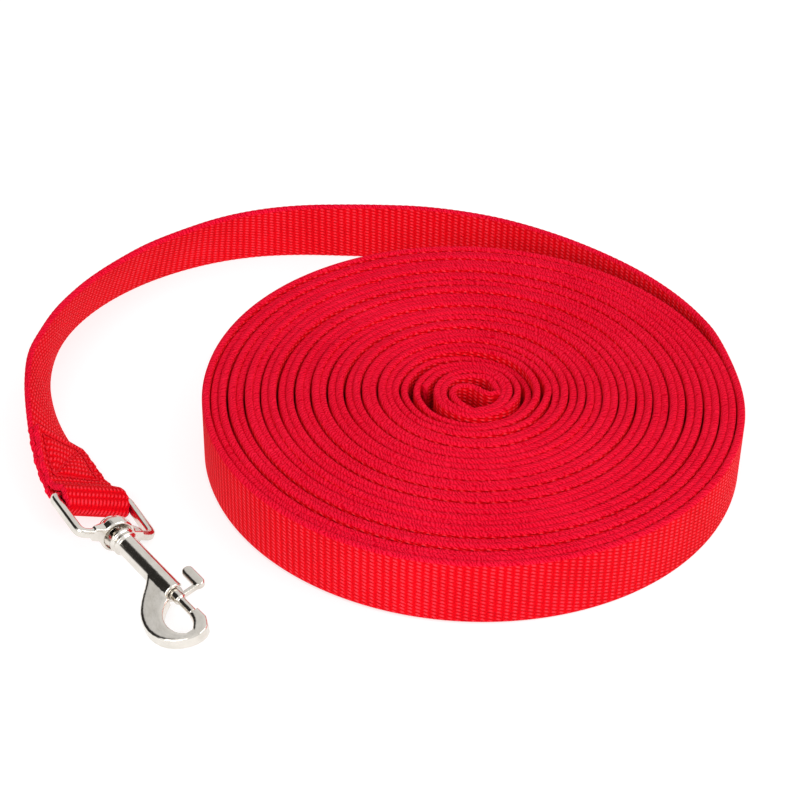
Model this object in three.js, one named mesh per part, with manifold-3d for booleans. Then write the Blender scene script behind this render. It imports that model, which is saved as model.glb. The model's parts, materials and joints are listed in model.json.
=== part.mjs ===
// Training leash: ten metres of woven webbing wound on edge into a flat roll, with one free end
// that runs to a nickel-plated swivel bolt snap. The hand loop is at the core of the roll.
// Millimetres, +Z up. The part stands on Z = 0 with the middle of its outline at the origin.

import * as THREE from "three";
import * as BufferGeometryUtils from "three/addons/utils/BufferGeometryUtils.js";
import Module from "manifold-3d";

const wasm = await Module();
wasm.setup();

// Driving dimensions
const GAP = 0.3; // clearance between neighbouring pieces
const SEAM_GAP = 0.7; // the same beside stitches, which lie on a curved face
const WEB_WIDTH = 25;
const WEB_THICK = 2.2;
const ROLL_RADIUS = 95.4; // outer face of the last whole turn
const CORE_RADIUS = 19; // outer face of the doubled webbing at the core
const SEAM_LENGTH = 20; // sewn box, along the webbing
const SEAM_WIDTH = 19;
const HANDLE_SEAM_AT = 150; // degrees round the roll
const THREAD = 0.8; // width of a row of stitches
const THREAD_HEIGHT = 0.5;
const STITCH = 2.8; // length of one stitch

const SNAP_AT = new THREE.Vector3(-117.2, -67.4, 8.9); // front of the swivel, from the roll's centre
const SNAP_YAW = -50.5; // degrees, direction in which the snap points
const SNAP_DIP = 4; // degrees, nose down
const HOOK_TILT = 12; // degrees about the snap's long axis

// The post is a loose fit in the eye, so the eye lies a few degrees askew of the snap.
const EYE_AT = -4; // middle of the eye's boss, behind the front of the swivel
const EYE_YAW = -8;
const EYE_DIP = -3;
const EYE_TILT = -25;

const EYE_BAR = 2.6; // width of the bars of the eye
const EYE_ARM = 3.1;
const EYE_HEIGHT = 3.4;
const EYE_FAR = -20.6; // middle of the bar that holds the webbing, from the middle of the boss
const EYE_NEAR = 0.7; // middle of the bar that holds the swivel
const EYE_FAR_WIDTH = 26.2; // clear width beside the webbing
const EYE_NEAR_WIDTH = 25.4;
const EYE_BEVEL = 1;
const BOSS_RADIUS = 6.1;
const EYE_BORE = 2.9; // radius, loose round the post

const NECK_RADIUS = 2;
const BARREL_RADIUS = 3.75;
const BARREL_MOUTH = 31;
const BORE_RADIUS = 2.4;
const BORE_START = 4;
const HOOK_THICK = 5;
const TIP_FACE = 42.3; // hook tip that the bolt closes on

const PLUNGER_RADIUS = 2.1;
const NOSE_RADIUS = 1.5;
const BOLT_REAR = 19;
const NOSE_END = TIP_FACE - GAP;
const LEVER_AT = 33.5; // middle of the lever's arm
const LEVER_HALF = 0.8; // half the arm's length along the bolt
const LEVER_WIDTH = 2.2;
const BOLT_TRAVEL = 9.3;

const turn = THREE.MathUtils.degToRad;

// Finishes
const webbing = () => new THREE.MeshStandardMaterial({ color: 0xe3101f, roughness: 0.85, metalness: 0 });
const thread = () => new THREE.MeshStandardMaterial({ color: 0xc40d1a, roughness: 0.6, metalness: 0 });
const nickel = () => new THREE.MeshStandardMaterial({ color: 0xd2ccc4, roughness: 0.18, metalness: 1 });
const steel = () => new THREE.MeshStandardMaterial({ color: 0xb8b8b8, roughness: 0.3, metalness: 1 });

function named(name, geometry, material) {
  const mesh = new THREE.Mesh(geometry, material);
  mesh.name = name;
  return mesh;
}

// Boolean work: a closed geometry becomes a solid, and a solid becomes a geometry again.
function solid(geometry) {
  const bare = geometry.clone();
  bare.deleteAttribute("normal");
  bare.deleteAttribute("uv");
  const merged = BufferGeometryUtils.mergeVertices(bare, 1e-4);
  return new wasm.Manifold(new wasm.Mesh({
    numProp: 3,
    vertProperties: new Float32Array(merged.attributes.position.array),
    triVerts: new Uint32Array(merged.index.array),
  }));
}

function geometryOf(body) {
  const mesh = body.getMesh();
  const geometry = new THREE.BufferGeometry();
  geometry.setAttribute("position", new THREE.BufferAttribute(new Float32Array(mesh.vertProperties), 3));
  geometry.setIndex(new THREE.BufferAttribute(new Uint32Array(mesh.triVerts), 1));
  return geometry;
}

// A lathe turned about the snap's long axis: each point is [distance along X, radius].
function turned(points, segments) {
  const profile = points.map(([along, radius]) => new THREE.Vector2(radius, along));
  return new THREE.LatheGeometry(profile, segments).rotateX(Math.PI / 2).rotateY(Math.PI / 2);
}

// A flat outline in X and Y, given thickness about Z = 0 with softened edges.
function plate(shape, thickness, bevel, curveSegments) {
  const geometry = new THREE.ExtrudeGeometry(shape, {
    depth: thickness - 2 * bevel,
    bevelThickness: bevel,
    bevelSize: bevel,
    bevelOffset: -bevel,
    bevelSegments: 2,
    curveSegments,
  });
  return geometry.translate(0, 0, bevel - thickness / 2);
}

function roundedBox(xLow, xHigh, yLow, yHigh, thickness, radius, bevel) {
  const shape = new THREE.Shape();
  shape.moveTo(xLow + radius, yLow);
  shape.lineTo(xHigh - radius, yLow);
  shape.absarc(xHigh - radius, yLow + radius, radius, -Math.PI / 2, 0);
  shape.lineTo(xHigh, yHigh - radius);
  shape.absarc(xHigh - radius, yHigh - radius, radius, 0, Math.PI / 2);
  shape.lineTo(xLow + radius, yHigh);
  shape.absarc(xLow + radius, yHigh - radius, radius, Math.PI / 2, Math.PI);
  shape.lineTo(xLow, yLow + radius);
  shape.absarc(xLow + radius, yLow + radius, radius, Math.PI, 1.5 * Math.PI);
  return plate(shape, thickness, bevel, 4);
}

// --- The snap's frame: +X from the eye to the hook, +Z upwards --------------------------------
const snap = new THREE.Group();
snap.position.copy(SNAP_AT);
snap.rotation.set(0, turn(SNAP_DIP), turn(SNAP_YAW), "ZYX");

const eyeFrame = new THREE.Group();
eyeFrame.position.x = EYE_AT;
eyeFrame.rotation.set(turn(EYE_TILT), turn(EYE_DIP), turn(EYE_YAW), "ZYX");
const hookFrame = new THREE.Group();
hookFrame.rotation.x = turn(HOOK_TILT);
snap.add(eyeFrame, hookFrame);
snap.updateMatrixWorld(true);

// --- The webbing's route, from the roll to the bar of the eye ----------------------------------
// Middle of the webbing seen from above, and how far its width leans: 90 stands on edge, less
// leans outwards and 0 would lie flat. The lower edge stays on the floor all the way.
const ROUTE = [
  [93.1, 26.7, 90], [90.6, 35.2, 90], [85.8, 48.2, 90], [78.6, 61.4, 90], [68.9, 74.5, 90],
  [58.6, 85.2, 90], [44.0, 97.3, 90], [28.8, 107.2, 90], [13.1, 114.9, 90], [-2.8, 119.9, 90],
  [-18.7, 122.9, 91], [-34.7, 123.9, 93], [-50.8, 124.0, 95], [-67.1, 123.4, 98], [-83.3, 120.8, 102],
  [-98.8, 115.5, 106], [-113.7, 107.2, 110], [-128.0, 96.1, 112], [-139.8, 82.7, 113], [-147.9, 69.6, 111],
  [-152.9, 57.3, 107], [-155.9, 44.8, 100], [-157.2, 31.7, 91], [-157.0, 18.6, 79], [-154.4, 4.5, 69],
  [-149.9, -10.0, 57], [-144.8, -22.6, 43], [-139.6, -33.8, 32],
];

// The webbing turns round the bar on this radius, so it passes this far under the middle of the bar.
const FOLD_RADIUS = EYE_HEIGHT / 2 + GAP + WEB_THICK / 2;
const FOLD_SLACK = 1.5; // the fold stands this far ahead of the bar
const LAYER_STEP = WEB_THICK + GAP; // between the middles of two sewn layers
const SEWN_LENGTH = 34; // from the bar to the cut end
const STRAIGHT_END = 6; // stretch behind the bar that lies in the eye's plane

// One frame across the webbing: its middle, the direction along it, across it and out of its face.
function across(heading, lean) {
  const left = new THREE.Vector3(-heading.y, heading.x, 0).normalize();
  const up = new THREE.Vector3().crossVectors(heading, left);
  const edge = new THREE.Vector3()
    .addScaledVector(left, Math.cos(lean))
    .addScaledVector(up, -Math.sin(lean));
  const face = new THREE.Vector3()
    .addScaledVector(left, Math.sin(lean))
    .addScaledVector(up, Math.cos(lean));
  return { edge, face };
}

const underBar = (x) => new THREE.Vector3(x, 0, -FOLD_RADIUS).applyMatrix4(eyeFrame.matrixWorld);
const endHeading = new THREE.Vector3(1, 0, 0).transformDirection(eyeFrame.matrixWorld);
const endAcross = new THREE.Vector3(0, 1, 0).transformDirection(eyeFrame.matrixWorld);
const endLean = Math.asin(-endAcross.z / Math.hypot(endHeading.x, endHeading.y));

function standing([x, y, lean]) {
  const tilt = turn(lean);
  const height = (WEB_WIDTH / 2) * Math.sin(tilt) + (WEB_THICK / 2) * Math.abs(Math.cos(tilt)) + 0.2;
  return new THREE.Vector3(x, y, height);
}

const routeEnd = underBar(EYE_FAR - STRAIGHT_END);
const routeMiddles = [...ROUTE.map(standing), routeEnd];
const routeLeans = [...ROUTE.map((row) => turn(row[2])), endLean];
const route = new THREE.CatmullRomCurve3(routeMiddles, false, "centripetal");
const leans = new THREE.CatmullRomCurve3(
  routeLeans.map((lean, index) => new THREE.Vector3(index, lean, 0)), false, "catmullrom");
const routeLength = route.getLength();

// The frame at a distance before the bar; the last stretch is straight, in the eye's plane.
function webbingFrame(beforeBar) {
  if (beforeBar <= STRAIGHT_END) {
    const middle = underBar(EYE_FAR - beforeBar);
    return { middle, ...across(endHeading, endLean) };
  }
  const u = 1 - (beforeBar - STRAIGHT_END) / routeLength;
  const t = route.getUtoTmapping(Math.max(u, 0));
  return { middle: route.getPoint(t), ...across(route.getTangent(t), leans.getPoint(t).y) };
}

// A shape drawn flat, with X across the webbing, Y out of its face and Z towards the bar (Z = 0),
// is laid along the route.
function laidAlong(geometry) {
  const position = geometry.attributes.position;
  const point = new THREE.Vector3();
  for (let i = 0; i < position.count; i++) {
    point.fromBufferAttribute(position, i);
    const ahead = Math.max(point.z, 0);
    const { middle, edge, face } = webbingFrame(Math.max(-point.z, 0));
    middle.addScaledVector(edge, point.x).addScaledVector(face, point.y).addScaledVector(endHeading, ahead);
    position.setXYZ(i, middle.x, middle.y, middle.z);
  }
  geometry.computeVertexNormals();
  return geometry;
}

// --- Webbing -----------------------------------------------------------------------------------
function webbingSection() {
  const half = WEB_WIDTH / 2;
  const thick = WEB_THICK / 2;
  const round = 0.7;
  return new THREE.Shape([
    [half, -thick + round], [half, thick - round], [half - round, thick], [-half + round, thick],
    [-half, thick - round], [-half, -thick + round], [-half + round, -thick], [half - round, -thick],
  ].map(([x, y]) => new THREE.Vector2(x, y)));
}

function freeWebbing() {
  const length = routeLength + STRAIGHT_END - SEWN_LENGTH - GAP;
  const strip = new THREE.ExtrudeGeometry(webbingSection(), { depth: length, steps: 66, bevelEnabled: false });
  return laidAlong(strip.translate(0, 0, -SEWN_LENGTH - GAP - length));
}

// The end of the webbing passes under the bar, round it, and back on top as a second layer.
// Each point is [distance before the bar, height above the lower layer].
function foldMiddle() {
  const points = [];
  for (let back = SEWN_LENGTH; back > 0; back -= 2) points.push([-back, 0]);
  for (let step = 0; step <= 10; step++) {
    const angle = (step / 10) * Math.PI - Math.PI / 2;
    points.push([FOLD_SLACK + FOLD_RADIUS * Math.cos(angle), FOLD_RADIUS * (1 + Math.sin(angle))]);
  }
  points.push([-0.8, 2 * FOLD_RADIUS], [-3.6, 2 * FOLD_RADIUS - 1.2], [-6.6, LAYER_STEP + 0.5]);
  for (let back = 10; back <= SEWN_LENGTH; back += 2) points.push([-back, LAYER_STEP]);
  return points.map(([along, height]) => new THREE.Vector2(along, height));
}

function ribbon(middle, thickness) {
  const one = [];
  const other = [];
  middle.forEach((point, i) => {
    const before = middle[Math.max(i - 1, 0)];
    const after = middle[Math.min(i + 1, middle.length - 1)];
    const along = after.clone().sub(before).normalize();
    const out = new THREE.Vector2(-along.y, along.x).multiplyScalar(thickness / 2);
    one.push(point.clone().add(out));
    other.push(point.clone().sub(out));
  });
  return new THREE.Shape([...other, ...one.reverse()]);
}

function snapEndLoop() {
  const fold = new THREE.ExtrudeGeometry(ribbon(foldMiddle(), WEB_THICK), {
    depth: WEB_WIDTH, steps: 8, bevelEnabled: false,
  });
  // drawn with X along the webbing; turned so that X runs across it and Z along it
  fold.translate(0, 0, -WEB_WIDTH / 2).rotateY(-Math.PI / 2);
  return laidAlong(fold);
}

// A closed outline with points added, so that no side is longer than a stitch.
function stitched(corners) {
  const points = [];
  corners.forEach(([x, y], i) => {
    const [nextX, nextY] = corners[(i + 1) % corners.length];
    const count = Math.ceil(Math.hypot(nextX - x, nextY - y) / STITCH);
    for (let step = 0; step < count; step++) {
      const share = step / count;
      points.push(new THREE.Vector2(x + (nextX - x) * share, y + (nextY - y) * share));
    }
  });
  return points;
}

// A box of stitches with one diagonal, as a flat frame.
function seam(height) {
  const half = SEAM_WIDTH / 2;
  const inner = half - THREAD;
  const end = SEAM_LENGTH - THREAD;
  const slant = THREAD * 1.6;
  const outline = new THREE.Shape(stitched([[-half, 0], [half, 0], [half, SEAM_LENGTH], [-half, SEAM_LENGTH]]));
  const corners = [
    [[-inner, THREAD + slant], [-inner, end], [inner - slant, end]],
    [[inner, end - slant], [inner, THREAD], [-inner + slant, THREAD]],
  ];
  for (const corner of corners) outline.holes.push(new THREE.Path(stitched(corner)));
  return new THREE.ExtrudeGeometry(outline, { depth: height, bevelEnabled: false });
}

function snapEndSeam(height) {
  return laidAlong(seam(THREAD_HEIGHT).rotateX(-Math.PI / 2).rotateY(Math.PI).translate(0, height, -SEWN_LENGTH + 2));
}

// The roll: one solid ring round the core.
function rollRing() {
  const inside = CORE_RADIUS + 2 * SEAM_GAP + THREAD_HEIGHT;
  const ease = 0.8;
  const profile = [
    [inside, ease], [inside + ease, 0], [ROLL_RADIUS - ease, 0], [ROLL_RADIUS, ease],
    [ROLL_RADIUS, WEB_WIDTH - ease], [ROLL_RADIUS - ease, WEB_WIDTH],
    [inside + ease, WEB_WIDTH], [inside, WEB_WIDTH - ease], [inside, ease],
  ].map(([x, y]) => new THREE.Vector2(x, y));
  return new THREE.LatheGeometry(profile, 120).rotateX(Math.PI / 2);
}

// The hand loop, pressed flat and wound up: a doubled spiral round its own small opening.
function handleCore() {
  const outline = new THREE.Shape();
  outline.absarc(0, 0, CORE_RADIUS, 0, 2 * Math.PI);
  const opening = new THREE.Path();
  opening.absellipse(1.8, -4.6, 7.6, 4.4, 0, 2 * Math.PI, true);
  outline.holes.push(opening);
  return new THREE.ExtrudeGeometry(outline, { depth: WEB_WIDTH, bevelEnabled: false, curveSegments: 40 });
}

// The handle's seam lies round the outside of the core, behind its cut end.
function handleSeam(radius) {
  const box = seam(ROLL_RADIUS).rotateY(Math.PI / 2).translate(0, -SEAM_LENGTH / 2, WEB_WIDTH / 2);
  const shell = [
    [radius, 0], [radius + THREAD_HEIGHT, 0], [radius + THREAD_HEIGHT, WEB_WIDTH], [radius, WEB_WIDTH], [radius, 0],
  ].map(([x, y]) => new THREE.Vector2(x, y));
  const tube = new THREE.LatheGeometry(shell, 90).rotateX(Math.PI / 2);
  return geometryOf(solid(tube).intersect(solid(box.rotateZ(turn(HANDLE_SEAM_AT)))));
}

// --- Swivel eye --------------------------------------------------------------------------------
// A cast frame, a little narrower at the swivel, with a boss on the near bar.
function eyeOutline(far, near, farWidth, nearWidth, round) {
  const corners = [[far, -farWidth / 2], [near, -nearWidth / 2], [near, nearWidth / 2], [far, farWidth / 2]]
    .map(([x, y]) => new THREE.Vector2(x, y));
  const points = [];
  corners.forEach((corner, i) => {
    const toBefore = corners[(i + 3) % 4].clone().sub(corner).normalize();
    const toAfter = corners[(i + 1) % 4].clone().sub(corner).normalize();
    const from = corner.clone().addScaledVector(toBefore, round);
    const to = corner.clone().addScaledVector(toAfter, round);
    points.push(...new THREE.QuadraticBezierCurve(from, corner, to).getPoints(5));
  });
  return points;
}

function swivelEye() {
  const half = EYE_BAR / 2;
  const frame = new THREE.Shape(
    eyeOutline(EYE_FAR - half, EYE_NEAR + half, EYE_FAR_WIDTH + 2 * EYE_ARM, EYE_NEAR_WIDTH + 2 * EYE_ARM, 4));
  frame.holes.push(new THREE.Path(
    eyeOutline(EYE_FAR + half, EYE_NEAR - half, EYE_FAR_WIDTH, EYE_NEAR_WIDTH, 1.2).reverse()));
  const shoulder = plate(new THREE.Shape([
    [EYE_NEAR - half, -9.5], [EYE_NEAR + half, -9.5], [2.2, -4.5], [2.2, 4.5], [EYE_NEAR + half, 9.5],
    [EYE_NEAR - half, 9.5], [-3, 5], [-3, -5],
  ].map(([x, y]) => new THREE.Vector2(x, y))), 5.4, EYE_BEVEL, 1);
  const boss = turned([
    [-3.4, 0], [-3.4, 4.6], [-2.6, 5.5], [-0.9, BOSS_RADIUS], [1.7, BOSS_RADIUS], [2.2, BOSS_RADIUS - 0.5],
    [2.2, 0],
  ], 32);
  const bore = turned([[-4, 0], [-4, EYE_BORE], [0.8, EYE_BORE], [0.8, 5], [3, 5], [3, 0]], 24);
  return geometryOf(solid(plate(frame, EYE_HEIGHT, EYE_BEVEL, 6))
    .add(solid(shoulder))
    .add(solid(boss))
    .subtract(solid(bore)));
}

// --- Snap body: swivel post, barrel and hook in one casting --------------------------------------
function hookOutline() {
  const toPoints = (pairs) => pairs.map(([x, y]) => new THREE.Vector2(x, y));
  const back = new THREE.SplineCurve(toPoints([
    [19.8, -3], [23, -5.8], [27.2, -10.2], [32.2, -14], [38.6, -15.9], [44.6, -14.8], [49.2, -11],
    [51.8, -5.6], [51.2, -0.6], [47, 1.9],
  ]));
  const inside = new THREE.SplineCurve(toPoints([
    [TIP_FACE, -1.8], [45.6, -2.5], [48.3, -4.6],
  ]));
  const bowl = new THREE.SplineCurve(toPoints([
    [48.2, -6.8], [45.6, -9], [41.4, -9.7], [37.4, -8.5], [34.5, -5.8], [33, -3.1],
  ]));
  return new THREE.Shape([
    ...toPoints([[19.8, -0.5]]), ...back.getPoints(22), ...toPoints([[TIP_FACE, 1.8]]),
    ...inside.getPoints(5), ...bowl.getPoints(13), ...toPoints([[30.4, -2.9], [30.4, -0.5]]),
  ]);
}

function snapBody() {
  const post = turned([
    [-9.9, 0], [-9.9, 2.2], [-9.2, 3.7], [-8.4, 4], [-8.4, NECK_RADIUS], [-0.7, NECK_RADIUS], [-0.7, 4.4],
    [-0.3, 4.75], [0.5, 4.75], [1, 4.1], [1.5, 4.1], [2, 4.6], [2.6, 4.6], [3.2, BARREL_RADIUS],
    [BARREL_MOUTH - 0.4, BARREL_RADIUS], [BARREL_MOUTH, BARREL_RADIUS - 0.4], [BARREL_MOUTH, 0],
  ], 32);
  const bore = turned([
    [BORE_START, 0], [BORE_START, BORE_RADIUS], [BARREL_MOUTH + 3, BORE_RADIUS], [BARREL_MOUTH + 3, 0],
  ], 24);
  const slotStart = LEVER_AT - LEVER_HALF - BOLT_TRAVEL - GAP;
  const slot = new THREE.BoxGeometry(12, 6, LEVER_WIDTH + 2 * GAP).translate(slotStart + 6, 3, 0);
  return geometryOf(solid(post)
    .add(solid(plate(hookOutline(), HOOK_THICK, 0.9, 6)))
    .subtract(solid(bore))
    .subtract(solid(slot)));
}

// --- Bolt with its thumb lever, and the spring behind it -----------------------------------------
function bolt() {
  const plunger = turned([
    [BOLT_REAR, 0], [BOLT_REAR, PLUNGER_RADIUS - 0.3], [BOLT_REAR + 0.3, PLUNGER_RADIUS],
    [34.6, PLUNGER_RADIUS], [35.1, NOSE_RADIUS], [NOSE_END - 0.4, NOSE_RADIUS], [NOSE_END, NOSE_RADIUS - 0.4],
    [NOSE_END, 0],
  ], 24);
  const arm = roundedBox(LEVER_AT - LEVER_HALF, LEVER_AT + LEVER_HALF, 0.5, 8.9, LEVER_WIDTH, 0.6, 0.3);
  const tab = roundedBox(LEVER_AT - 8.6, LEVER_AT + 1.4, 6.4, 10.4, 2.8, 1.9, 0.8);
  return geometryOf(solid(plunger).add(solid(arm)).add(solid(tab)));
}

class Helix extends THREE.Curve {
  constructor(start, length, radius, turns) {
    super();
    Object.assign(this, { start, length, radius, turns });
  }

  getPoint(t, target = new THREE.Vector3()) {
    const angle = 2 * Math.PI * this.turns * t;
    return target.set(this.start + this.length * t, this.radius * Math.cos(angle), this.radius * Math.sin(angle));
  }
}

function boltSpring() {
  const wire = 0.25;
  const turns = 8;
  const start = BORE_START + GAP + wire;
  const section = new THREE.Shape();
  section.absarc(0, 0, wire, 0, 2 * Math.PI);
  return new THREE.ExtrudeGeometry(section, {
    steps: turns * 14,
    curveSegments: 3,
    extrudePath: new Helix(start, BOLT_REAR - GAP - wire - start, 1.75, turns),
  });
}

// --- Assembly --------------------------------------------------------------------------------------
eyeFrame.add(named("swivel_eye", swivelEye(), nickel()));
hookFrame.add(
  named("snap_body", snapBody(), nickel()),
  named("bolt", bolt(), nickel()),
  named("bolt_spring", boltSpring(), steel()),
);

const leash = new THREE.Group();
leash.add(
  named("webbing_roll", rollRing(), webbing()),
  named("handle_loop", handleCore(), webbing()),
  named("free_webbing", freeWebbing(), webbing()),
  named("snap_end_loop", snapEndLoop(), webbing()),
  named("snap_end_needle_thread", snapEndSeam(LAYER_STEP + WEB_THICK / 2 + SEAM_GAP), thread()),
  named("snap_end_bobbin_thread", snapEndSeam(-WEB_THICK / 2 - SEAM_GAP - THREAD_HEIGHT), thread()),
  named("handle_needle_thread", handleSeam(CORE_RADIUS + SEAM_GAP), thread()),
  snap,
);

// Stand the part on Z = 0, with the middle of its outline at the origin.
const outline = new THREE.Box3().setFromObject(leash, true);
const middle = outline.getCenter(new THREE.Vector3());
leash.position.set(-middle.x, -middle.y, -outline.min.z);
leash.updateMatrixWorld(true);

export default leash;
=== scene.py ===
# Training leash: ten metres of red webbing wound on edge into a flat roll, with a sewn end on a
# nickel-plated swivel bolt snap. Metres, in the same frame as the solid model.

import json
import math

import bpy
import numpy as np
from mathutils import Matrix, Vector


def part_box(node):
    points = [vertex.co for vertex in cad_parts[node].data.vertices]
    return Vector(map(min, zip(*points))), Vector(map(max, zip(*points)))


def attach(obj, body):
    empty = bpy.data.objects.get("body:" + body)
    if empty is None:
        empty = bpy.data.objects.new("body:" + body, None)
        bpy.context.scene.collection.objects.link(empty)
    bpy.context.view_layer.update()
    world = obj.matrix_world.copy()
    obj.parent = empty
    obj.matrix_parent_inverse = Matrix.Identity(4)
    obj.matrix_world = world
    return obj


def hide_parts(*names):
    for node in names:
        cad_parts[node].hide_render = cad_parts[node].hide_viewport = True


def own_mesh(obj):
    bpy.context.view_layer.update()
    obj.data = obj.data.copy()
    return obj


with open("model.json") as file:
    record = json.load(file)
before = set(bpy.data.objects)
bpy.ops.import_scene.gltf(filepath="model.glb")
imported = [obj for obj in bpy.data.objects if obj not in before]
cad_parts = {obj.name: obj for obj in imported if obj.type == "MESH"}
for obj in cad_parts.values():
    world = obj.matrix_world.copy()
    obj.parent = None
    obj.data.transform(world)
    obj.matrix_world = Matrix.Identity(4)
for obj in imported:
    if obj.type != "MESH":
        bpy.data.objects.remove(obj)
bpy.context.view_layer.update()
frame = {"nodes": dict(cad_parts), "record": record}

roll_low, roll_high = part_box("webbing_roll")
roll_middle = Vector(((roll_low[0] + roll_high[0]) / 2, (roll_low[1] + roll_high[1]) / 2, 0))


# --- Camera ----------------------------------------------------------------------------------------
# A long lens looks down on the leash from the front, with the roll to the right of the middle.
camera_data = bpy.data.cameras.new("camera")
camera_data.lens = 93.75
camera_data.sensor_width = 36
camera_data.clip_end = 20
camera = bpy.data.objects.new("camera", camera_data)
camera.location = roll_middle + Vector((-0.02524, -0.598, 0.46164))
tilt_down = Matrix.Rotation(math.radians(90 - 36.5), 4, "X")
bank = Matrix.Rotation(math.radians(0.99), 4, "Z")
camera.matrix_world = Matrix.Translation(camera.location) @ tilt_down @ bank
bpy.context.collection.objects.link(camera)
bpy.context.scene.camera = camera


# --- Webbing ---------------------------------------------------------------------------------------
# One strip of ribbed polyester webbing, 25 mm wide with rounded woven selvedges. It is one red all over;
# the tops of its raised floats carry a painted highlight and the gaps between them painted shade.
WEBBING_WIDTH = 0.025
WEBBING_THICK = 0.0028
PRESSED_THICK = 0.0023  # where it is folded hard or sewn
ROW = 0.00147  # from one warp yarn to the next, across the webbing
PICK = 0.0026  # from one column of floats to the next, along it
SELVEDGE = 0.0019  # from the middle of the edge to the first float of the face
LOOP = 0.0013  # from one weft loop to the next on the selvedge
LOOP_SLANT = 0.0024

# The section's points run once round the webbing from the middle of the far selvedge, each
# [across, out of the face] as shares of the half width and half thickness.
WEBBING_SECTION = [
    (1.0, 0.0), (0.994, -0.5), (0.968, -0.86), (0.92, -1.0), (0.45, -1.0), (0.0, -1.0), (-0.45, -1.0),
    (-0.92, -1.0), (-0.968, -0.86), (-0.994, -0.5), (-1.0, 0.0), (-0.994, 0.5), (-0.968, 0.86),
    (-0.92, 1.0), (-0.45, 1.0), (0.0, 1.0), (0.45, 1.0), (0.92, 1.0), (0.968, 0.86), (0.994, 0.5),
]

section_points = np.array(WEBBING_SECTION) * [WEBBING_WIDTH / 2, WEBBING_THICK / 2]
section_steps = np.linalg.norm(np.roll(section_points, -1, axis=0) - section_points, axis=1)
once_round = float(section_steps.sum())

webbing_red = bpy.data.materials.new("webbing red")
webbing_red.use_nodes = True
red_nodes = webbing_red.node_tree.nodes
red_links = webbing_red.node_tree.links
red_shader = red_nodes["Principled BSDF"]
red_shader.inputs["Sheen Weight"].default_value = 0.02
red_shader.inputs["Sheen Tint"].default_value = (1.0, 0.15, 0.2, 1.0)
red_place = red_nodes.new("ShaderNodeTexCoord")


def red_math(operation, *values):
    """One Math node of the webbing's material, with numbers or sockets as its inputs."""
    node = red_nodes.new("ShaderNodeMath")
    node.operation = operation
    for socket, value in zip(node.inputs, values):
        if isinstance(value, (int, float)):
            socket.default_value = value
        else:
            red_links.new(value, socket)
    return node.outputs[0]


# floats stand in columns across the webbing, every other column half a row on, each a little aslant
weave_place = red_nodes.new("ShaderNodeUVMap")
weave_place.uv_map = "weave"
weave_axes = red_nodes.new("ShaderNodeSeparateXYZ")
red_links.new(weave_place.outputs[0], weave_axes.inputs[0])
column = red_math("DIVIDE", weave_axes.outputs[1], PICK)
in_column = red_math("FRACT", column)
half_row = red_math("MULTIPLY", red_math("PINGPONG", red_math("FLOOR", column), 1.0), 0.5)
row = red_math("ADD", red_math("DIVIDE", weave_axes.outputs[0], ROW),
               red_math("ADD", half_row, red_math("MULTIPLY", in_column, 0.5)))
across_float = red_math("SINE", red_math("MULTIPLY", red_math("FRACT", row), math.pi))
along_float = red_math("SINE", red_math("MULTIPLY", in_column, math.pi))
face_yarn = red_math("MULTIPLY", red_math("POWER", across_float, 1.1),
                     red_math("POWER", along_float, 1.3))

# on the selvedges the weft turns back in short slanting loops
from_edge = red_math("PINGPONG", weave_axes.outputs[0], once_round / 4)
selvedge = red_math("SUBTRACT", 1.0, red_math("MINIMUM", red_math("DIVIDE", from_edge, SELVEDGE), 1.0))
selvedge = red_math("MINIMUM", red_math("MULTIPLY", selvedge, 4.0), 1.0)
loop_drift = red_nodes.new("ShaderNodeTexNoise")
loop_drift.inputs["Scale"].default_value = 330
red_links.new(red_place.outputs["Object"], loop_drift.inputs["Vector"])
loop_phase = red_math("ADD", red_math("DIVIDE", weave_axes.outputs[1], LOOP),
                      red_math("ADD", red_math("DIVIDE", weave_axes.outputs[0], LOOP_SLANT),
                               red_math("MULTIPLY", loop_drift.outputs[0], 3.4)))
loop_turn = red_math("MULTIPLY", red_math("FRACT", loop_phase), math.pi)
loop_yarn = red_math("POWER", red_math("SINE", loop_turn), 0.8)

# fine fibres and a slow change of shade over everything
fibre = red_nodes.new("ShaderNodeTexNoise")
fibre.inputs["Scale"].default_value = 2200
fibre.inputs["Detail"].default_value = 3
red_links.new(red_place.outputs["Object"], fibre.inputs["Vector"])
shading = red_nodes.new("ShaderNodeTexNoise")
shading.inputs["Scale"].default_value = 38
shading.inputs["Detail"].default_value = 5
red_links.new(red_place.outputs["Object"], shading.inputs["Vector"])

yarn_mix = red_nodes.new("ShaderNodeMix")
red_links.new(selvedge, yarn_mix.inputs["Factor"])
red_links.new(face_yarn, yarn_mix.inputs["A"])
red_links.new(loop_yarn, yarn_mix.inputs["B"])
yarn = yarn_mix.outputs["Result"]
# the float profile in this tone paints highlights on the tops of the yarns and shade between them; the
# fibres and the slow noise are the webbing's own uneven tone
tone_and_yarn_light = red_math("ADD", red_math("MULTIPLY", yarn, 0.5),
                red_math("ADD", red_math("MULTIPLY", fibre.outputs[0], 0.5),
                         red_math("MULTIPLY", shading.outputs[0], 0.25)))
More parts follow.
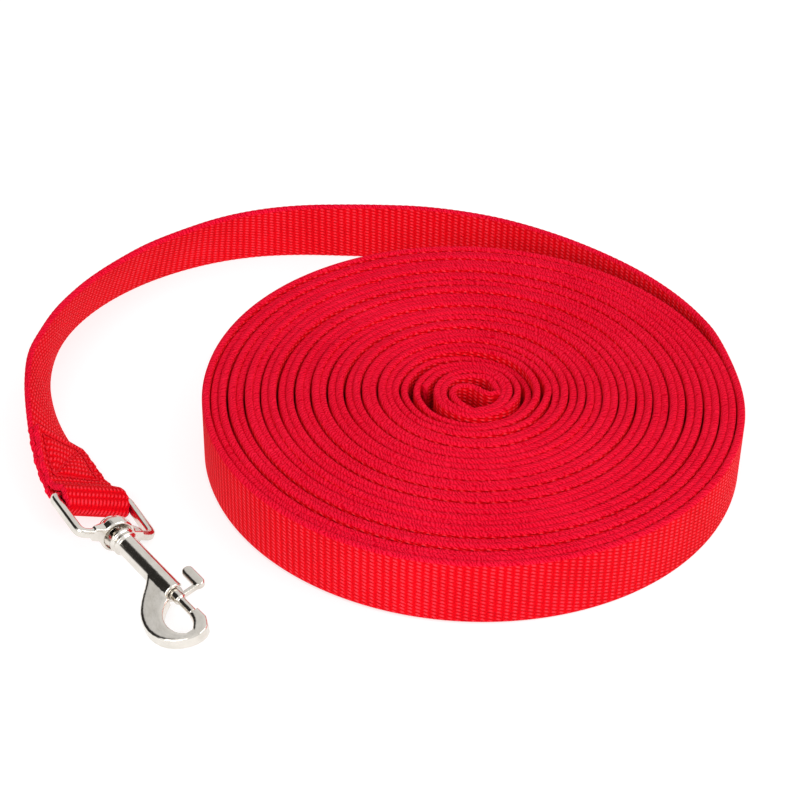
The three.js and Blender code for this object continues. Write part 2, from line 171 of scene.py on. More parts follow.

# the face is a warm red and the selvedge a crimson, each ramp running from painted shade between the yarns
# to a painted highlight on their tops
face_colour = red_nodes.new("ShaderNodeValToRGB")
face_colour.color_ramp.elements[0].position = 0.25
face_colour.color_ramp.elements[0].color = (0.52, 0.0, 0.005, 1)
face_colour.color_ramp.elements[1].position = 0.86
face_colour.color_ramp.elements[1].color = (1.0, 0.04, 0.065, 1)
face_red = face_colour.color_ramp.elements.new(0.58)
face_red.color = (0.92, 0.0, 0.006, 1)
red_links.new(tone_and_yarn_light, face_colour.inputs[0])
edge_colour = red_nodes.new("ShaderNodeValToRGB")
edge_colour.color_ramp.elements[0].position = 0.25
edge_colour.color_ramp.elements[0].color = (0.44, 0.0, 0.008, 1)
edge_colour.color_ramp.elements[1].position = 0.95
edge_colour.color_ramp.elements[1].color = (0.98, 0.012, 0.05, 1)
edge_red = edge_colour.color_ramp.elements.new(0.55)
edge_red.color = (0.74, 0.0, 0.014, 1)
red_links.new(tone_and_yarn_light, edge_colour.inputs[0])
red_mix = red_nodes.new("ShaderNodeMix")
red_mix.data_type = "RGBA"
red_links.new(selvedge, red_mix.inputs["Factor"])
red_links.new(face_colour.outputs[0], red_mix.inputs[6])
red_links.new(edge_colour.outputs[0], red_mix.inputs[7])
red_links.new(red_mix.outputs[2], red_shader.inputs["Base Color"])
red_links.new(red_math("SUBTRACT", 0.85, red_math("MULTIPLY", yarn, 0.25)), red_shader.inputs["Roughness"])
red_links.new(red_math("SUBTRACT", 0.05, red_math("MULTIPLY", selvedge, 0.035)),
              red_shader.inputs["Specular IOR Level"])

# the floats stand well out of the face, and the loops of the selvedge only a little
red_bump = red_nodes.new("ShaderNodeBump")
red_bump.inputs["Strength"].default_value = 0.9
red_bump.inputs["Distance"].default_value = 0.0005
yarn_height = red_math("MULTIPLY", yarn, red_math("SUBTRACT", 1.35, red_math("MULTIPLY", selvedge, 1.0)))
fibre_height = red_math("MULTIPLY", fibre.outputs[0],
                        red_math("ADD", 0.5, red_math("MULTIPLY", selvedge, 0.9)))
red_links.new(red_math("ADD", yarn_height, fibre_height), red_bump.inputs["Height"])
red_links.new(red_bump.outputs[0], red_shader.inputs["Normal"])


def webbing_strip(name, middles, edges, faces, starts_at, widths, thicks, section=WEBBING_SECTION):
    """A closed strip through the given cross frames; UV is metres round the section and along."""
    section = np.array(section)
    count = len(section)
    half = np.stack([np.asarray(widths) / 2, np.asarray(thicks) / 2], axis=1)
    rings = (middles[:, None, :]
             + (half[:, 0, None] * section[None, :, 0])[..., None] * edges[:, None, :]
             + (half[:, 1, None] * section[None, :, 1])[..., None] * faces[:, None, :])
    vertices = rings.reshape(-1, 3)
    polygons = []
    for ring in range(len(middles) - 1):
        for side in range(count):
            a = ring * count + side
            b = ring * count + (side + 1) % count
            polygons.append((a, a + count, b + count, b))
    polygons.append(tuple(range(count)))
    last = (len(middles) - 1) * count
    polygons.append(tuple(reversed(range(last, last + count))))
    mesh = bpy.data.meshes.new(name)
    mesh.from_pydata(vertices.tolist(), [], polygons)
    flat = section * [WEBBING_WIDTH / 2, WEBBING_THICK / 2]
    sides = np.linalg.norm(np.roll(flat, -1, axis=0) - flat, axis=1)
    around = np.concatenate([[0], np.cumsum(sides)])
    steps = np.linalg.norm(np.diff(middles, axis=0), axis=1)
    travelled = starts_at + np.concatenate([[0], np.cumsum(steps)])
    coordinates = []
    for ring in range(len(middles) - 1):
        for side in range(count):
            coordinates += [around[side], travelled[ring], around[side], travelled[ring + 1],
                            around[side + 1], travelled[ring + 1], around[side + 1], travelled[ring]]
    coordinates += [0.0] * (4 * count)
    layer = mesh.uv_layers.new(name="weave")
    layer.data.foreach_set("uv", np.array(coordinates, dtype=np.float32))
    mesh.polygons.foreach_set("use_smooth", [True] * len(mesh.polygons))
    mesh.materials.append(webbing_red)
    mesh.update()
    piece = bpy.data.objects.new(name, mesh)
    bpy.context.collection.objects.link(piece)
    return piece, travelled[-1]


def smooth_path(points, spacing):
    """A centripetal curve through the points, at even steps; every column after z is carried along."""
    points = np.asarray(points, dtype=float)
    padded = np.vstack([2 * points[0] - points[1], points, 2 * points[-1] - points[-2]])
    samples = []
    for i in range(1, len(padded) - 2):
        p0, p1, p2, p3 = padded[i - 1], padded[i], padded[i + 1], padded[i + 2]
        knots = [0.0]
        for a, b in ((p0, p1), (p1, p2), (p2, p3)):
            knots.append(knots[-1] + max(np.linalg.norm(b[:3] - a[:3]), 1e-9) ** 0.5)
        t0, t1, t2, t3 = knots
        for t in np.linspace(t1, t2, 24, endpoint=False):
            a1 = (t1 - t) / (t1 - t0) * p0 + (t - t0) / (t1 - t0) * p1
            a2 = (t2 - t) / (t2 - t1) * p1 + (t - t1) / (t2 - t1) * p2
            a3 = (t3 - t) / (t3 - t2) * p2 + (t - t2) / (t3 - t2) * p3
            b1 = (t2 - t) / (t2 - t0) * a1 + (t - t0) / (t2 - t0) * a2
            b2 = (t3 - t) / (t3 - t1) * a2 + (t - t1) / (t3 - t1) * a3
            samples.append((t2 - t) / (t2 - t1) * b1 + (t - t1) / (t2 - t1) * b2)
    samples.append(points[-1])
    samples = np.array(samples)
    reach = np.concatenate([[0], np.cumsum(np.linalg.norm(np.diff(samples[:, :3], axis=0), axis=1))])
    count = max(2, int(round(reach[-1] / spacing)) + 1)
    even = np.linspace(0, reach[-1], count)
    return np.stack([np.interp(even, reach, samples[:, k]) for k in range(samples.shape[1])], axis=1)


# --- Roll ------------------------------------------------------------------------------------------
# The lead is wound round its own hand loop, which is pressed flat at the core. The turns stand on
# edge, a little uneven in height, and grow by one thickness each time round.

# the core, seen from above: [turn in degrees, distance from the middle in mm]
CORE_INNER = [  # the strand that ends at the hand loop's seam
    (-8, 9.6), (45, 8.9), (90, 7.6), (135, 8.4), (180, 9.8), (225, 11.9), (270, 13.7), (315, 13.9),
    (360, 13.5), (405, 13.6), (450, 14.2), (495, 15.3), (533, 16.7),
]
CORE_OUTER = [  # the strand that goes on into the roll
    (-90, 11.6), (-45, 11.9), (0, 11.7), (45, 11.4), (90, 10.9), (135, 11.0), (180, 12.1), (225, 14.2),
    (270, 16.1), (315, 16.4), (360, 16.6), (405, 16.4), (450, 16.5), (495, 17.9), (540, 19.4),
    (585, 19.8), (630, 19.5), (675, 19.8), (720, 20.4), (765, 20.7), (810, 20.9), (855, 22.4),
    (900, 23.8), (945, 23.8), (990, 23.3), (1035, 23.1), (1080, 23.4), (1125, 23.6), (1170, 23.9),
    (1215, 25.4), (1260, 27.0), (1305, 26.9), (1350, 26.5), (1395, 26.8), (1440, 27.4),
]
CORE_FOLD = [  # from the inner strand, over the opening, round the hairpin and under it, in mm
    (9.4, -2.0), (6.6, -2.7), (4.2, -1.6), (1.4, 1.0), (-1.4, 2.0), (-4.6, 1.3), (-6.6, -1.2),
    (-6.4, -4.2), (-4.9, -7.6), (-2.6, -10.3),
]
FOLD_RISE = 0.3
LAST_TURN = 9730  # degrees, 27 rounds and a little more
LAST_RADIUS = 95.55
TURN_STEP = 15
RING_STEP = 1.9  # mm between the rings of the mesh
TURN_THICK = 0.00275


def roll_height(turn):
    """How far a turn has sunk or risen, in mm: no two turns of a hand-wound roll lie level."""
    around = math.radians(turn)
    lap = turn / 360
    return (0.42 * math.sin(2.399 * lap + 0.4) + 0.25 * math.sin(around + 2.3 * lap)
            + 0.12 * math.sin(2 * around + 1.1 * lap) - 1.6 * math.exp(-((turn - 740) / 150) ** 2))


def roll_wander(turn):
    """How far a turn lies outside or inside its even place, in mm, so that some gaps close."""
    lap = turn / 360
    return 0.26 * math.sin(3.11 * lap) + 0.16 * math.sin(math.radians(turn) + 0.9 * lap)


def core_point(turn, radius):
    """A place in the roll, in mm from its middle and from its even height."""
    angle = math.radians(turn)
    return [radius * math.cos(angle), radius * math.sin(angle), roll_height(turn)]


roll_points = [core_point(*row) + [90] for row in reversed(CORE_INNER)]
roll_points += [[x, y, FOLD_RISE, 90] for x, y in CORE_FOLD]
roll_points += [core_point(*row) + [90] for row in CORE_OUTER]
first_turn, first_radius = CORE_OUTER[-1]
for turn in range(first_turn + TURN_STEP, LAST_TURN + 1, TURN_STEP):
    share = (turn - first_turn) / (LAST_TURN - first_turn)
    fading = min(1, (1 - share) * 12)
    radius = first_radius + (LAST_RADIUS - first_radius) * share + roll_wander(turn) * fading
    roll_points.append(core_point(turn, radius) + [90])

# The lead leaves the roll at the back, runs round behind it on edge and turns almost flat on its
# way to the snap. Each row is [x, y in mm from the roll's middle, lean in degrees]: 90 is on edge.
ROUTE = [
    (90.6, 35.2, 90), (85.8, 48.2, 90), (78.6, 61.4, 90), (68.9, 74.5, 90),
    (58.6, 85.2, 90), (44.0, 97.3, 90), (28.8, 107.2, 90), (13.1, 114.9, 90), (-2.8, 119.9, 90),
    (-18.7, 122.9, 91), (-34.7, 123.9, 93), (-50.8, 124.0, 95), (-67.1, 123.4, 98), (-83.3, 120.8, 102),
    (-98.8, 115.5, 106), (-113.7, 107.2, 110), (-128.0, 96.1, 112), (-139.8, 82.7, 113),
    (-147.9, 69.6, 111), (-152.9, 57.3, 107), (-155.9, 44.8, 100), (-157.2, 31.7, 91),
    (-157.0, 18.6, 79), (-154.4, 4.5, 69), (-149.9, -10.0, 57), (-144.8, -22.6, 43), (-139.6, -33.8, 32),
]
HALF_WIDTH = 12.5  # mm, half the webbing's width
FOLD_RADIUS = 0.0031  # the webbing passes this far under the middle of the bar
STRAIGHT_END = 0.006  # and is straight for this far behind it

joints = {joint["name"]: joint for joint in frame["record"]["behaviour"]["joints"]}
bar_middle = Vector(joints["eye_pivot"]["pos_m"])
bar_across = -Vector(joints["eye_pivot"]["axis"]).normalized()
bar_ahead = (Vector(joints["swivel"]["pos_m"]) - bar_middle).normalized()
bar_up = bar_ahead.cross(bar_across)
end_lean = math.degrees(math.asin(-bar_across.z / math.hypot(bar_ahead.x, bar_ahead.y)))


def under_bar(back):
    """The middle of the webbing below the bar, this far behind it, as a row of the route."""
    place = (bar_middle - bar_up * FOLD_RADIUS - bar_ahead * back - roll_middle) * 1000
    return [place.x, place.y, place.z - HALF_WIDTH, end_lean]


free_points = []
for x, y, lean in ROUTE:
    tilt = math.radians(lean)
    rise = HALF_WIDTH * math.sin(tilt) + 1.1 * abs(math.cos(tilt)) + 0.2
    free_points.append([x, y, rise - HALF_WIDTH, lean])
free_points += [under_bar(STRAIGHT_END), under_bar(STRAIGHT_END / 2), under_bar(0)]

lead_path = smooth_path(roll_points + free_points, RING_STEP)
lead_middles = lead_path[:, :3] / 1000 + [roll_middle.x, roll_middle.y, WEBBING_WIDTH / 2]
lead_heading = np.gradient(lead_middles, axis=0)
lead_heading /= np.linalg.norm(lead_heading, axis=1)[:, None]
lead_lean = np.radians(lead_path[:, 3])[:, None]
lead_left = np.stack([-lead_heading[:, 1], lead_heading[:, 0], np.zeros(len(lead_path))], axis=1)
lead_left /= np.linalg.norm(lead_left, axis=1)[:, None]
lead_up = np.cross(lead_heading, lead_left)
lead_edges = np.cos(lead_lean) * lead_left - np.sin(lead_lean) * lead_up
lead_faces = np.sin(lead_lean) * lead_left + np.cos(lead_lean) * lead_up
lead_steps = np.linalg.norm(np.diff(lead_middles, axis=0), axis=1)
lead_travelled = np.concatenate([[0], np.cumsum(lead_steps)])
before_bar = lead_travelled[-1] - lead_travelled
lead_thick = np.interp(lead_travelled, [0, 0.25, 0.5, 0.9], [0.0026, PRESSED_THICK, 0.0025, TURN_THICK])
lead_thick = np.minimum(lead_thick, np.interp(before_bar, [0.03, 0.12], [PRESSED_THICK, TURN_THICK]))

# a turn that has sunk is pressed against the floor, so only its upper selvedge comes down
lead_widths = np.full(len(lead_middles), WEBBING_WIDTH)
on_edge = np.abs(lead_path[:, 3] - 90) < 0.01
pressed = np.where(on_edge, np.maximum(0, WEBBING_WIDTH / 2 - lead_middles[:, 2]), 0)
lead_widths -= pressed
lead_middles[:, 2] += pressed / 2

# the lead leaves the roll here, on its last stretch of 0.6 m
exit_place = roll_middle + Vector((0.0941, 0.0166, WEBBING_WIDTH / 2))
near_exit = np.linalg.norm(lead_middles - np.array(exit_place), axis=1)
near_exit[before_bar > 0.6] = np.inf
leaves = int(np.argmin(near_exit))
roll, roll_length = webbing_strip(
    "rolled_webbing", lead_middles[:leaves + 1], lead_edges[:leaves + 1], lead_faces[:leaves + 1], 0.0,
    lead_widths[:leaves + 1], lead_thick[:leaves + 1])
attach(roll, "lead")
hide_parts("webbing_roll", "handle_loop")


# --- Free end --------------------------------------------------------------------------------------
# The last stretch of the same strip, from the roll to where its end is folded back and sewn.
SEWN_LENGTH = 0.034
SCALLOP = 0.00035  # the weft loops stand this far out of the selvedge
FREE_RINGS = 600

sewn_from = int(np.argmin(np.abs(before_bar - SEWN_LENGTH)))


def scalloped(along, fading):
    """The webbing's width where the loops of its selvedge are modelled, times a share of their depth."""
    return WEBBING_WIDTH + SCALLOP * fading * (np.abs(np.sin(math.pi * along / PICK)) - 0.5)


def lead_at(along, rows):
    """Rows of the lead's frames at the given distances along it."""
    return np.stack([np.interp(along, lead_travelled, rows[:, k]) for k in range(3)], axis=1)


free_along = np.linspace(lead_travelled[leaves], lead_travelled[sewn_from], FREE_RINGS)
free_middles = lead_at(free_along, lead_middles)
free_widths = scalloped(free_along, np.clip((free_along - free_along[0]) / 0.02, 0, 1))
free_end, free_reach = webbing_strip(
    "free_webbing_end", free_middles, lead_at(free_along, lead_edges), lead_at(free_along, lead_faces),
    roll_length, free_widths, np.interp(free_along, lead_travelled, lead_thick))
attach(free_end, "lead")
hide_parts("free_webbing")


# --- Sewn end --------------------------------------------------------------------------------------
# The webbing goes under the bar of the eye, round it and back on top of itself, and is sewn flat.
# The fold stands loose round the bar, and the seam puckers the edges.
FOLD_SLACK = 0.0036  # the fold runs on this far ahead of the bar
FOLD_NOSE = 0.00255  # the fold's own radius, ahead of the bar
LAYER_STEP = 0.0024  # between the middles of the two layers
FOLD_STEP = 0.00065  # between the rings of the mesh
NOSE_RINGS = 16
LOOP_PULL = 2.4  # the selvedge's scallops are this much deeper where it is sewn
PUCKER = 0.0005
PUCKER_STEP = 0.0068
STITCH_DENT = 0.00075
GROOVE = 0.0014  # half the width of the furrow that a row of stitches makes
PUFF = 0.0002  # the webbing swells a little between the rows
PUFF_FROM = 0.003


def sewn_frame(back):
    """Middle, across and face of the lower layer at a distance behind the bar."""
    at = lead_travelled[-1] - max(back, 0)
    place = np.array([np.interp(at, lead_travelled, lead_middles[:, k]) for k in range(3)])
    edge = np.array([np.interp(at, lead_travelled, lead_edges[:, k]) for k in range(3)])
    face = np.array([np.interp(at, lead_travelled, lead_faces[:, k]) for k in range(3)])
    place += np.array(bar_ahead) * max(-back, 0)
    return place, edge / np.linalg.norm(edge), face / np.linalg.norm(face)


fold_side = []  # the fold seen from the side: [distance behind the bar, height above the lower layer]
for back in np.arange(before_bar[sewn_from], -FOLD_SLACK, -FOLD_STEP):
    fold_side.append((back, 0.0))
for step in range(1, NOSE_RINGS):
    angle = math.pi * step / NOSE_RINGS - math.pi / 2
    fold_side.append((-FOLD_SLACK - FOLD_NOSE * math.cos(angle), FOLD_NOSE * (1 + math.sin(angle))))
upper_from = len(fold_side)
for back in np.arange(-FOLD_SLACK, SEWN_LENGTH + 0.0005, FOLD_STEP):
    rise = np.interp(back, [-FOLD_SLACK, -0.0012, 0.001, 0.0042, 0.0072, 0.012],
                     [0.0051, 0.0061, 0.0061, 0.0044, 0.0030, LAYER_STEP])
    fold_side.append((back, float(rise)))

fold_frames = [sewn_frame(back) for back, rise in fold_side]
fold_middles = np.array([
    place + face * rise for (place, edge, face), (back, rise) in zip(fold_frames, fold_side)])
fold_edges = np.array([edge for place, edge, face in fold_frames])
fold_heading = np.gradient(fold_middles, axis=0)
fold_heading /= np.linalg.norm(fold_heading, axis=1)[:, None]
fold_heading[0] = lead_heading[sewn_from]
fold_faces = np.cross(fold_heading, fold_edges)
fold_faces /= np.linalg.norm(fold_faces, axis=1)[:, None]
fold_faces[0] = lead_faces[sewn_from]
fold_thick = np.full(len(fold_middles), PRESSED_THICK)
fold_thick[0] = lead_thick[sewn_from]
fold_along = free_reach + np.concatenate(
    [[0], np.cumsum(np.linalg.norm(np.diff(fold_middles, axis=0), axis=1))])
FINE_SECTION = (
    [(1.0, 0.0), (0.994, -0.5), (0.968, -0.86)] + [(0.92 - 0.046 * step, -1.0) for step in range(41)]
    + [(-0.968, -0.86), (-0.994, -0.5), (-1.0, 0.0), (-0.994, 0.5), (-0.968, 0.86)]
    + [(-0.92 + 0.046 * step, 1.0) for step in range(41)] + [(0.968, 0.86), (0.994, 0.5)])
fold_widths = scalloped(fold_along, LOOP_PULL) + PUCKER * np.sin(2 * math.pi * fold_along / PUCKER_STEP)
sewn_end = webbing_strip(
    "sewn_end", fold_middles, fold_edges, fold_faces, free_reach, fold_widths, fold_thick,
    FINE_SECTION)[0]

# the stitches pull the upper layer down along their rows: [across, distance behind the bar]
SEAM_HALF = 0.0091
SEAM_NEAR = 0.0124
SEAM_FAR = 0.0316
SEAM_ROWS = [
    ((-SEAM_HALF, SEAM_FAR), (SEAM_HALF, SEAM_FAR)), ((SEAM_HALF, SEAM_FAR), (SEAM_HALF, SEAM_NEAR)),
    ((SEAM_HALF, SEAM_NEAR), (-SEAM_HALF, SEAM_NEAR)), ((-SEAM_HALF, SEAM_NEAR), (-SEAM_HALF, SEAM_FAR)),
    ((SEAM_HALF, SEAM_FAR), (-SEAM_HALF, SEAM_NEAR)),
]


def seam_distance(across, back):
    """How far a place on the upper layer is from the nearest row of stitches."""
    nearest = 1.0
    for (x0, s0), (x1, s1) in SEAM_ROWS:
        run = Vector((x1 - x0, s1 - s0))
        share = min(max((Vector((across - x0, back - s0)).dot(run)) / run.length_squared, 0), 1)
        nearest = min(nearest, math.hypot(across - x0 - share * run.x, back - s0 - share * run.y))
    return nearest


for ring in range(upper_from, len(fold_side)):
    back = fold_side[ring][0]
    for side, (across, out) in enumerate(FINE_SECTION):
        if out < -0.8:
            distance = seam_distance(across * WEBBING_WIDTH / 2, back)
            dent = STITCH_DENT * math.exp(-(distance / GROOVE) ** 2)
            dent -= PUFF * min(distance / PUFF_FROM, 1)
            vertex = sewn_end.data.vertices[ring * len(FINE_SECTION) + side]
            vertex.co += Vector(fold_faces[ring]) * dent
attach(sewn_end, "lead")
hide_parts("snap_end_loop")


# --- Stitching -------------------------------------------------------------------------------------
# A box of lockstitch with one diagonal holds the folded end. The polyester thread is the colour of the
# webbing, painted a little darker as shade for the furrows the stitches lie in, and each stitch is pulled
# a little way into it.
STITCH = 0.0028
THREAD = 0.0009
STITCH_SHARE = 0.98  # of the step from one stitch to the next
THREAD_FLAT = 0.8  # pulled tight, the thread is flatter than it is wide

thread_red = bpy.data.materials.new("thread red")
thread_red.use_nodes = True
thread_nodes = thread_red.node_tree.nodes
thread_links = thread_red.node_tree.links
thread_shader = thread_nodes["Principled BSDF"]
thread_shader.inputs["Roughness"].default_value = 0.7
thread_shader.inputs["Specular IOR Level"].default_value = 0.15
twist = thread_nodes.new("ShaderNodeTexNoise")
twist.inputs["Scale"].default_value = 1800
twist_place = thread_nodes.new("ShaderNodeTexCoord")
thread_links.new(twist_place.outputs["Object"], twist.inputs["Vector"])
# the thread's ramp mixes a random twist tone with painted furrow shade: both its ends are darker than the
# webbing
twist_tone_and_furrow_shade = thread_nodes.new("ShaderNodeValToRGB")
twist_tone_and_furrow_shade.color_ramp.elements[0].color = (0.56, 0.0, 0.008, 1)
twist_tone_and_furrow_shade.color_ramp.elements[1].color = (0.86, 0.004, 0.02, 1)
thread_links.new(twist.outputs[0], twist_tone_and_furrow_shade.inputs[0])
thread_links.new(twist_tone_and_furrow_shade.outputs[0], thread_shader.inputs["Base Color"])
twist_bump = thread_nodes.new("ShaderNodeBump")
twist_bump.inputs["Strength"].default_value = 0.5
twist_bump.inputs["Distance"].default_value = 0.0002
thread_links.new(twist.outputs[0], twist_bump.inputs["Height"])
thread_links.new(twist_bump.outputs[0], thread_shader.inputs["Normal"])

bpy.ops.object.select_all(action="DESELECT")
bpy.ops.mesh.primitive_uv_sphere_add(segments=8, ring_count=6, radius=0.5)
stitch_pattern = bpy.context.object
pattern_points = np.array([list(vertex.co) for vertex in stitch_pattern.data.vertices])
pattern_faces = [list(polygon.vertices) for polygon in stitch_pattern.data.polygons]
bpy.data.objects.remove(stitch_pattern)


def stitched_box(name, rise):
    """Stitches along the box and its diagonal, at this height above the lower layer's middle."""
    vertices = []
    polygons = []
    for (x0, s0), (x1, s1) in SEAM_ROWS:
        length = math.hypot(x1 - x0, s1 - s0)
        count = round(length / STITCH)
        for step in range(count):
            share = (step + 0.5) / count
            across, back = x0 + (x1 - x0) * share, s0 + (s1 - s0) * share
            place, edge, face = sewn_frame(back)
            ahead = np.cross(edge, face)
            along = edge * (x1 - x0) / length - ahead * (s1 - s0) / length
            along /= np.linalg.norm(along)
            side = np.cross(face, along)
            centre = place + edge * across + face * rise
            first = len(vertices)
            size = (length / count * STITCH_SHARE, THREAD, THREAD * THREAD_FLAT)
            for px, py, pz in pattern_points:
                offset = along * px * size[0] + side * py * size[1] + face * pz * size[2]
                vertices.append(list(centre + offset))
            polygons += [[first + index for index in polygon] for polygon in pattern_faces]
    mesh = bpy.data.meshes.new(name)
    mesh.from_pydata(vertices, [], polygons)
    mesh.polygons.foreach_set("use_smooth", [True] * len(mesh.polygons))
    mesh.materials.append(thread_red)
    piece = bpy.data.objects.new(name, mesh)
    bpy.context.collection.objects.link(piece)
    return piece


NEEDLE_RISE = LAYER_STEP + 0.0008
BOBBIN_RISE = -0.00115
needle_stitches = stitched_box("needle_stitches", NEEDLE_RISE)
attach(needle_stitches, "lead")
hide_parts("snap_end_needle_thread")
bobbin_stitches = stitched_box("bobbin_stitches", BOBBIN_RISE)
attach(bobbin_stitches, "lead")
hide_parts("snap_end_bobbin_thread")
for slot in frame["nodes"]["handle_needle_thread"].material_slots:
    slot.material = thread_red


# --- Bolt snap -------------------------------------------------------------------------------------
# Zinc castings with rounded edges, polished and plated with bright nickel. The eye turns on the
# post behind the barrel, and the bolt slides in the barrel under its thumb lever.
nickel = bpy.data.materials.new("nickel plate")
nickel.use_nodes = True
nickel_nodes = nickel.node_tree.nodes
nickel_links = nickel.node_tree.links
nickel_shader = nickel_nodes["Principled BSDF"]
nickel_shader.inputs["Metallic"].default_value = 1.0
nickel_place = nickel_nodes.new("ShaderNodeTexCoord")
tarnish = nickel_nodes.new("ShaderNodeTexNoise")
tarnish.inputs["Scale"].default_value = 160
tarnish.inputs["Detail"].default_value = 5
nickel_links.new(nickel_place.outputs["Object"], tarnish.inputs["Vector"])
tarnish_colour = nickel_nodes.new("ShaderNodeValToRGB")
tarnish_colour.color_ramp.elements[0].color = (0.66, 0.62, 0.56, 1)
tarnish_colour.color_ramp.elements[0].position = 0.3
tarnish_colour.color_ramp.elements[1].color = (0.79, 0.75, 0.69, 1)
tarnish_colour.color_ramp.elements[1].position = 0.6
nickel_links.new(tarnish.outputs[0], tarnish_colour.inputs[0])
nickel_links.new(tarnish_colour.outputs[0], nickel_shader.inputs["Base Color"])
polish = nickel_nodes.new("ShaderNodeMapRange")
polish.inputs["To Min"].default_value = 0.10
polish.inputs["To Max"].default_value = 0.24
nickel_links.new(tarnish.outputs[0], polish.inputs["Value"])
nickel_links.new(polish.outputs[0], nickel_shader.inputs["Roughness"])
casting = nickel_nodes.new("ShaderNodeTexNoise")
casting.inputs["Scale"].default_value = 420
casting.inputs["Detail"].default_value = 3
nickel_links.new(nickel_place.outputs["Object"], casting.inputs["Vector"])
casting_bump = nickel_nodes.new("ShaderNodeBump")
casting_bump.inputs["Strength"].default_value = 0.12
casting_bump.inputs["Distance"].default_value = 0.0003
nickel_links.new(casting.outputs[0], casting_bump.inputs["Height"])
nickel_links.new(casting_bump.outputs[0], nickel_shader.inputs["Normal"])


def softened_casting(name, node, body, voxel, rounds):
    """A copy of the solid, remeshed finely and smoothed, so that its edges are rounded as cast."""
    bpy.ops.object.select_all(action="DESELECT")
    piece = bpy.data.objects.new(name, frame["nodes"][node].data.copy())
    bpy.context.collection.objects.link(piece)
    bpy.context.view_layer.objects.active = piece
    piece.select_set(True)
    bpy.ops.object.mode_set(mode="EDIT")
    bpy.ops.mesh.select_all(action="SELECT")
    bpy.ops.mesh.remove_doubles(threshold=0.00001)
    bpy.ops.object.mode_set(mode="OBJECT")
    remesh = piece.modifiers.new("remesh", "REMESH")
    remesh.mode = "VOXEL"
    remesh.voxel_size = voxel
    bpy.ops.object.modifier_apply(modifier="remesh")
    soften = piece.modifiers.new("soften", "SMOOTH")
    soften.factor = 0.5
    soften.iterations = rounds
    bpy.ops.object.modifier_apply(modifier="soften")
    piece.data.polygons.foreach_set("use_smooth", [True] * len(piece.data.polygons))
    piece.data.materials.clear()
    piece.data.materials.append(nickel)
    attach(piece, body)
    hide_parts(node)
    return piece


softened_casting("cast_eye", "swivel_eye", "eye", 0.00022, 5)
softened_casting("cast_hook", "snap_body", "snap", 0.00022, 4)
softened_casting("sliding_bolt", "bolt", "bolt", 0.0002, 3)

steel = bpy.data.materials.new("spring steel")
steel.use_nodes = True
steel_nodes = steel.node_tree.nodes
steel_shader = steel_nodes["Principled BSDF"]
steel_shader.inputs["Metallic"].default_value = 1.0
drawn = steel_nodes.new("ShaderNodeTexNoise")
drawn.inputs["Scale"].default_value = 900
drawn_place = steel_nodes.new("ShaderNodeTexCoord")
steel.node_tree.links.new(drawn_place.outputs["Object"], drawn.inputs["Vector"])
drawn_colour = steel_nodes.new("ShaderNodeValToRGB")
drawn_colour.color_ramp.elements[0].color = (0.42, 0.42, 0.42, 1)
drawn_colour.color_ramp.elements[1].color = (0.62, 0.62, 0.62, 1)
steel.node_tree.links.new(drawn.outputs[0], drawn_colour.inputs[0])
steel.node_tree.links.new(drawn_colour.outputs[0], steel_shader.inputs["Base Color"])
steel_shader.inputs["Roughness"].default_value = 0.3

spring = bpy.data.objects.new("return_spring", frame["nodes"]["bolt_spring"].data.copy())
bpy.context.collection.objects.link(spring)
spring.data.materials.clear()
spring.data.materials.append(steel)
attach(spring, "snap")
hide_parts("bolt_spring")
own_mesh(spring)


# --- Studio ----------------------------------------------------------------------------------------
# A pale floor, a bright dome with one dark patch high on the left, and two wide soft lights. The floor
# glows a little and evenly, except under the roll, where no light would reach it: there its glow is cut
# off as painted shade.
floor_mesh = bpy.data.meshes.new("floor")
floor_mesh.from_pydata([(-3, -3, 0), (3, -3, 0), (3, 3, 0), (-3, 3, 0)], [], [(0, 1, 2, 3)])
floor = bpy.data.objects.new("floor", floor_mesh)
bpy.context.collection.objects.link(floor)
floor_paint = bpy.data.materials.new("floor paint")
floor_paint.use_nodes = True
floor_shader = floor_paint.node_tree.nodes["Principled BSDF"]
floor_shader.inputs["Base Color"].default_value = (0.36, 0.36, 0.36, 1)
floor_shader.inputs["Roughness"].default_value = 0.9
floor_shader.inputs["Specular IOR Level"].default_value = 0.1
floor_shader.inputs["Emission Color"].default_value = (1, 1, 1, 1)
floor_nodes = floor_paint.node_tree.nodes
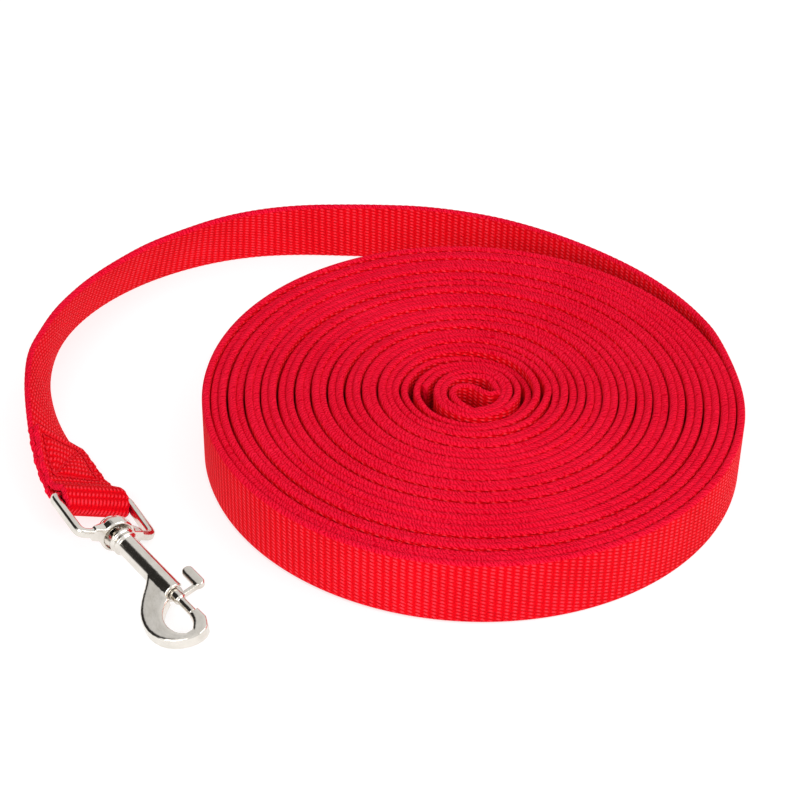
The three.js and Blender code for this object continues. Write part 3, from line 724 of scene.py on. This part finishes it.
from_roll = floor_nodes.new("ShaderNodeVectorMath")
from_roll.operation = "DISTANCE"
from_roll.inputs[1].default_value = tuple(roll_middle)
floor_place = floor_nodes.new("ShaderNodeTexCoord")
floor_paint.node_tree.links.new(floor_place.outputs["Object"], from_roll.inputs[0])
# cut the floor's glow off under the roll, a painted shade that keeps the roll's hole dark
floor_glow_and_roll_shade = floor_nodes.new("ShaderNodeMapRange")
floor_glow_and_roll_shade.inputs["From Min"].default_value = 0.09
floor_glow_and_roll_shade.inputs["From Max"].default_value = 0.096
floor_glow_and_roll_shade.inputs["To Max"].default_value = 0.74
floor_paint.node_tree.links.new(from_roll.outputs["Value"], floor_glow_and_roll_shade.inputs["Value"])
floor_paint.node_tree.links.new(floor_glow_and_roll_shade.outputs[0], floor_shader.inputs["Emission Strength"])
floor_mesh.materials.append(floor_paint)

world = bpy.data.worlds.new("studio")
bpy.context.scene.world = world
world.use_nodes = True
world_nodes = world.node_tree.nodes
world_links = world.node_tree.links
background = world_nodes["Background"]
direction = world_nodes.new("ShaderNodeTexCoord")
towards_dark = world_nodes.new("ShaderNodeVectorMath")
towards_dark.operation = "DOT_PRODUCT"
towards_dark.inputs[1].default_value = (-0.796, 0.159, 0.584)
world_links.new(direction.outputs["Generated"], towards_dark.inputs[0])
dome = world_nodes.new("ShaderNodeValToRGB")
dome.color_ramp.elements[0].position = 0.80
dome.color_ramp.elements[0].color = (1, 1, 1, 1)
dome.color_ramp.elements[1].position = 0.865
dome.color_ramp.elements[1].color = (0.03, 0.028, 0.026, 1)
world_links.new(towards_dark.outputs["Value"], dome.inputs[0])
world_links.new(dome.outputs[0], background.inputs[0])
background.inputs[1].default_value = 0.85

for name, place, size, power in (
        ("key light", (-0.55, -1.1, 0.75), 0.9, 9), ("fill light", (0.9, -0.4, 0.8), 0.9, 5)):
    light_data = bpy.data.lights.new(name, "AREA")
    light_data.size = size
    light_data.energy = power
    light = bpy.data.objects.new(name, light_data)
    light.location = place
    light.rotation_euler = (-Vector(place)).to_track_quat("-Z", "Y").to_euler()
    bpy.context.collection.objects.link(light)

bpy.context.scene.view_settings.view_transform = "Standard"
